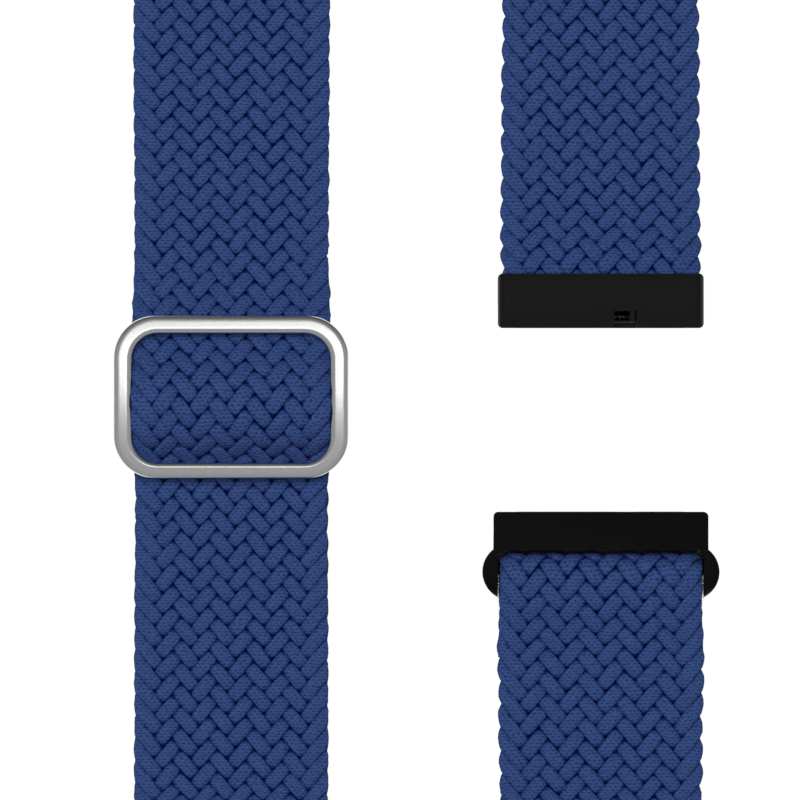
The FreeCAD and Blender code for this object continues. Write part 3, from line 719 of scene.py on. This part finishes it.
BRAID = braid_material()
METAL = plain("satin_slider_metal", (0.88, 0.88, 0.88, 1), 0.19, metallic=1.0)
BLACK = plain("satin_black_end", (0.007, 0.0075, 0.007, 1), 0.4, shine=0.16)
DEEP_BLACK = plain("deep_black_end", (0.004, 0.004, 0.0042, 1), 0.4, shine=0.08)
DARK_STEEL = plain("dark_lever_steel", (0.03, 0.03, 0.03, 1), 0.4, metallic=1.0)
STEEL = plain("polished_bar_steel", (0.6, 0.6, 0.6, 1), 0.25, metallic=1.0)
SPRING = plain("spring_steel", (0.45, 0.45, 0.46, 1), 0.35, metallic=1.0)
THREAD = plain("navy_thread", srgb(30, 42, 88), 0.85, shine=0.1)


# The slider, the two watch ends and the small parts
WELD_DISTANCE = 0.002
FLAT_ANGLE = 1
SHARP_ANGLE = 30
SMOOTH_ANGLE = 35

# The lower end's ears: where their inner faces lie from the column's middle, and how far those move apart
EAR_INNER_FROM = 9.6
EAR_INNER_TO = 10.5
EAR_TOP_Y = -15.84
EAR_OPENING = 0.3

# The slider's frame and its window
SLIDER_LOW, SLIDER_HIGH = box_mm("slider_frame")
SLIDER_WIDTH = SLIDER_HIGH.x - SLIDER_LOW.x
SLIDER_LENGTH = 16.9
SLIDER_MIDDLE_Y = 0.04
SLIDER_OUTER_R = 4.4
WINDOW_WIDTH = 20.6
WINDOW_LENGTH = 13.46
WINDOW_MIDDLE_Y = -0.09
WINDOW_R = 2.7
SLIDER_THICK = 2.0
SLIDER_EDGE_WIDE = 0.55
SLIDER_EDGE_HIGH = 0.36
SLIDER_FOOT_R = 0.15
SLIDER_CROWN = 0.3
LUG_CUT = 0.01  # how far below the frame the solid's lugs are cut off
LUG_RISE = 0.3  # and how far they then reach up, into the frame
CORNER_STEPS = 14
SIDE_STEPS = 10


def solid_shape(node):
    """A solid's own mesh in millimetres, welded and with its flat faces whole."""
    shape = bmesh.new()
    shape.from_mesh(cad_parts[node].data)
    bmesh.ops.scale(shape, vec=(1 / MM,) * 3, verts=shape.verts)
    bmesh.ops.remove_doubles(shape, verts=shape.verts, dist=WELD_DISTANCE)
    flat = math.radians(FLAT_ANGLE)
    bmesh.ops.dissolve_limit(shape, angle_limit=flat, verts=shape.verts, edges=shape.edges)
    return shape


def made_piece(shape, node, ending, finish):
    """A finished piece in metres that stands in for a solid."""
    bmesh.ops.scale(shape, vec=(MM,) * 3, verts=shape.verts)
    bmesh.ops.recalc_face_normals(shape, faces=shape.faces)
    for face in shape.faces:
        face.smooth = True
    for edge in shape.edges:
        edge.smooth = edge.calc_face_angle(0) < math.radians(SMOOTH_ANGLE)
    mesh = bpy.data.meshes.new(node + ending)
    shape.to_mesh(mesh)
    shape.free()
    mesh.materials.append(finish)
    piece = placed(node + ending, mesh)
    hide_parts(node)
    return piece


def open_ears(shape):
    """Moves the ears' inner faces apart, so that the webbing can swell between them."""
    for vert in shape.verts:
        aside = vert.co.x - COLUMN_X
        if EAR_INNER_FROM < abs(aside) < EAR_INNER_TO and vert.co.y < EAR_TOP_Y:
            vert.co.x += math.copysign(EAR_OPENING, aside)


def softened(node, width, finish):
    """A solid's own shape with its sharp edges eased."""
    shape = solid_shape(node)
    if node == "lower_housing":
        open_ears(shape)
    sharp = [e for e in shape.edges if e.is_manifold and e.calc_face_angle(0) > math.radians(SHARP_ANGLE)]
    bmesh.ops.bevel(
        shape, geom=sharp, offset=width, segments=2, profile=0.5, affect="EDGES", clamp_overlap=True
    )
    return made_piece(shape, node, "_eased", finish)


def rounded_rectangle(width, length, radius, middle_y):
    """Points round a rounded rectangle, with as many on every corner and every side."""
    arcs = []
    for quarter, (way_x, way_y) in enumerate([(1, 1), (-1, 1), (-1, -1), (1, -1)]):
        turn = np.pi / 2 * (quarter + np.linspace(0, 1, CORNER_STEPS + 1))
        x = way_x * (width / 2 - radius) + radius * np.cos(turn)
        y = middle_y + way_y * (length / 2 - radius) + radius * np.sin(turn)
        arcs.append(np.column_stack([x, y]))
    parts = []
    for arc, after in zip(arcs, arcs[1:] + arcs[:1]):
        share = np.linspace(0, 1, SIDE_STEPS + 1)[1:-1, None]
        parts += [arc, arc[-1] + share * (after[0] - arc[-1])]
    return np.concatenate(parts)


def slider_section():
    """The frame's section, as (share of the way out from the window's edge, height) all the way round."""
    bar = (SLIDER_WIDTH - WINDOW_WIDTH) / 2
    foot, wide, high = SLIDER_FOOT_R, SLIDER_EDGE_WIDE, SLIDER_THICK
    turn = np.radians(np.linspace(0, 90, 11))
    curve = [(wide * (1 - math.cos(a)), high - SLIDER_EDGE_HIGH * (1 - math.sin(a))) for a in turn]
    points = [(foot, 0), (0, foot), (0, high / 2)] + curve
    points += [(bar * share, high) for share in (0.4, 0.5, 0.6)]
    points += [(bar - out, up) for out, up in reversed(curve)]
    points += [(bar, high / 2), (bar, foot), (bar - foot, 0)]
    return [(out / bar, up) for out, up in points]


def build_slider():
    """The slider's frame: a crowned ring with rounded edges, and the solid's own lugs under it."""
    shape = solid_shape("slider_frame")
    base = SLIDER_HIGH.z - SLIDER_THICK
    geometry = shape.verts[:] + shape.edges[:] + shape.faces[:]
    cut = bmesh.ops.bisect_plane(
        shape, geom=geometry, plane_co=(0, 0, base - LUG_CUT), plane_no=(0, 0, 1), clear_outer=True
    )["geom_cut"]
    bmesh.ops.holes_fill(shape, edges=[e for e in shape.edges if e.is_boundary], sides=0)
    for vert in (item for item in cut if isinstance(item, bmesh.types.BMVert)):
        vert.co.z += LUG_RISE
    outer = rounded_rectangle(SLIDER_WIDTH, SLIDER_LENGTH, SLIDER_OUTER_R, SLIDER_MIDDLE_Y)
    inner = rounded_rectangle(WINDOW_WIDTH, WINDOW_LENGTH, WINDOW_R, WINDOW_MIDDLE_Y)
    rings = []
    for share, up in slider_section():
        flat = inner + share * (outer - inner)
        height = base + up - SLIDER_CROWN * (flat[:, 1] / (SLIDER_LENGTH / 2)) ** 2 * up / SLIDER_THICK
        rings.append([shape.verts.new((x - COLUMN_X, y, z)) for (x, y), z in zip(flat, height)])
    for ring, after in zip(rings, rings[1:] + rings[:1]):
        for i in range(len(ring)):
            j = (i + 1) % len(ring)
            shape.faces.new((ring[i], ring[j], after[j], after[i]))
    return made_piece(shape, "slider_frame", "_crowned", METAL)


def solid_finish(name):
    """The finish of a solid that shows as it is."""
    if name == "slider_bar":
        return METAL
    if "plate" in name or "screws" in name:
        return BLACK
    if "spring" in name:
        return SPRING
    if "release_tip" in name or "sleeve" in name:
        return DARK_STEEL
    return STEEL


def finish_nodes():
    """Made pieces for the main solids and the springs, and finishes for the solids that show as they are."""
    for node, width, finish, slot, body in (
        ("upper_housing", 0.1, BLACK, "end_black", "upper_end"),
        ("lower_housing", 0.12, DEEP_BLACK, "end_black", "lower_end"),
        ("bar_tacks", 0.1, THREAD, "thread", "sewn_end"),
    ):
        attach(softened(node, width, finish), body)
    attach(build_slider(), "slider")
    for end in ("upper", "lower"):
        node = end + "_bar_spring"
        spring = made_piece(solid_shape(node), node, "_coil", SPRING)
        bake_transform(spring)
    for name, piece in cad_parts.items():
        piece.data.materials.clear()
        piece.data.materials.append(solid_finish(name))


# Camera, light and floor
PHOTO_SIZE = 800
PIXELS_PER_MM = 9.6
ORIGIN_PIXEL = (416.0, 397.3)  # where the origin lies in the photograph
CAMERA_HEIGHT = 1500.0
SENSOR = 36.0
FLOOR_HALF_SIZE = 2.0
FLOOR_DROP = 0.0001
FLOOR_WHITE_SHARE = 0.97
FLOOR_SHADE_REACH = 0.006
SKY_LEVEL = 0.25
SKY_OVERHEAD = 0.32
SKY_FAR_SHARE = 0.35


def set_camera():
    """A long lens straight above, so that the picture is the photograph's view."""
    data = bpy.data.cameras.new("camera")
    data.sensor_width = SENSOR
    view_width = PHOTO_SIZE / PIXELS_PER_MM
    data.lens = SENSOR * CAMERA_HEIGHT / view_width
    data.clip_start = 0.01
    data.clip_end = 10
    camera = placed("camera", data)
    x = (PHOTO_SIZE / 2 - ORIGIN_PIXEL[0]) / PIXELS_PER_MM
    y = (ORIGIN_PIXEL[1] - PHOTO_SIZE / 2) / PIXELS_PER_MM
    camera.location = Vector((x, y, CAMERA_HEIGHT)) * MM
    bpy.context.scene.camera = camera


def area_light(name, place, size, power, mirrored):
    """A round lamp aimed at the origin. The camera never sees it, and metal only if it is mirrored."""
    data = bpy.data.lights.new(name, "AREA")
    data.shape = "DISK"
    data.size = size
    data.energy = power
    light = placed(name, data)
    light.location = place
    light.rotation_euler = (-Vector(place)).to_track_quat("-Z", "Y").to_euler()
    light.visible_camera = False
    light.visible_glossy = mirrored


def white_floor():
    """A floor that the camera sees as white, with shade painted dark into that white where things shut it in
    on every side.
    """
    material, tree, shader = new_material("white_floor")
    shader.inputs["Base Color"].default_value = (0.9, 0.9, 0.9, 1)
    shader.inputs["Roughness"].default_value = 1.0
    # Painted shade: the floor's white is darkened where occlusion is high, in narrow slits and corners
    open_sky = add(tree, "AmbientOcclusion", {"Distance": FLOOR_SHADE_REACH})
    painted_shade_white = ranged(tree, open_sky.outputs["AO"], 0.16, 0.42)
    white = add(tree, "Emission", {"Color": painted_shade_white, "Strength": 1 / FLOOR_WHITE_SHARE})
    path = add(tree, "LightPath")
    seen = maths(tree, "MAXIMUM", path.outputs["Is Camera Ray"], path.outputs["Is Transmission Ray"])
    seen = maths(tree, "MAXIMUM", seen, path.outputs["Is Glossy Ray"])
    share = maths(tree, "MULTIPLY", seen, FLOOR_WHITE_SHARE)
    mix = add(tree, "MixShader", {0: share, 1: shader.outputs[0], 2: white.outputs[0]})
    tree.links.new(mix.outputs[0], tree.nodes["Material Output"].inputs["Surface"])
    return material


def studio_sky():
    """Soft grey all round, brighter overhead and darker towards the top of the photograph."""
    world = bpy.data.worlds.new("studio")
    bpy.context.scene.world = world
    world.use_nodes = True
    tree = world.node_tree
    sky = tree.nodes["Background"]
    way = add(tree, "SeparateXYZ", {0: add(tree, "TexCoord").outputs["Generated"]})
    overhead = ranged(tree, way.outputs["Z"], 0.0, 1.0, SKY_LEVEL, SKY_OVERHEAD)
    far = ranged(tree, way.outputs["Y"], 0.15, 0.7, 1.0, SKY_FAR_SHARE)
    tree.links.new(maths(tree, "MULTIPLY", overhead, far), sky.inputs["Color"])
    backdrop = add(tree, "Background", {"Color": (1, 1, 1, 1)})
    seen = add(tree, "LightPath").outputs["Is Camera Ray"]
    mix = add(tree, "MixShader", {0: seen, 1: sky.outputs[0], 2: backdrop.outputs[0]})
    tree.links.new(mix.outputs[0], tree.nodes["World Output"].inputs["Surface"])


def set_stage():
    """A white floor, a soft sky, a softbox for the metal and a broad lamp for the webbing."""
    studio_sky()
    shape = bmesh.new()
    bmesh.ops.create_grid(shape, x_segments=1, y_segments=1, size=FLOOR_HALF_SIZE)
    bmesh.ops.translate(shape, verts=shape.verts, vec=(0, 0, -FLOOR_DROP))
    mesh = bpy.data.meshes.new("floor")
    shape.to_mesh(mesh)
    shape.free()
    mesh.materials.append(white_floor())
    floor = placed("floor", mesh)
    area_light("softbox", (0, 0.07, 1.0), size=0.17, power=0.13, mirrored=True)
    area_light("broad_lamp", (-0.15, 0.2, 1.0), size=0.5, power=7.0, mirrored=False)
    bpy.context.scene.view_settings.view_transform = "Standard"


set_camera()
set_stage()
finish_nodes()
ride_strap(build_strap())
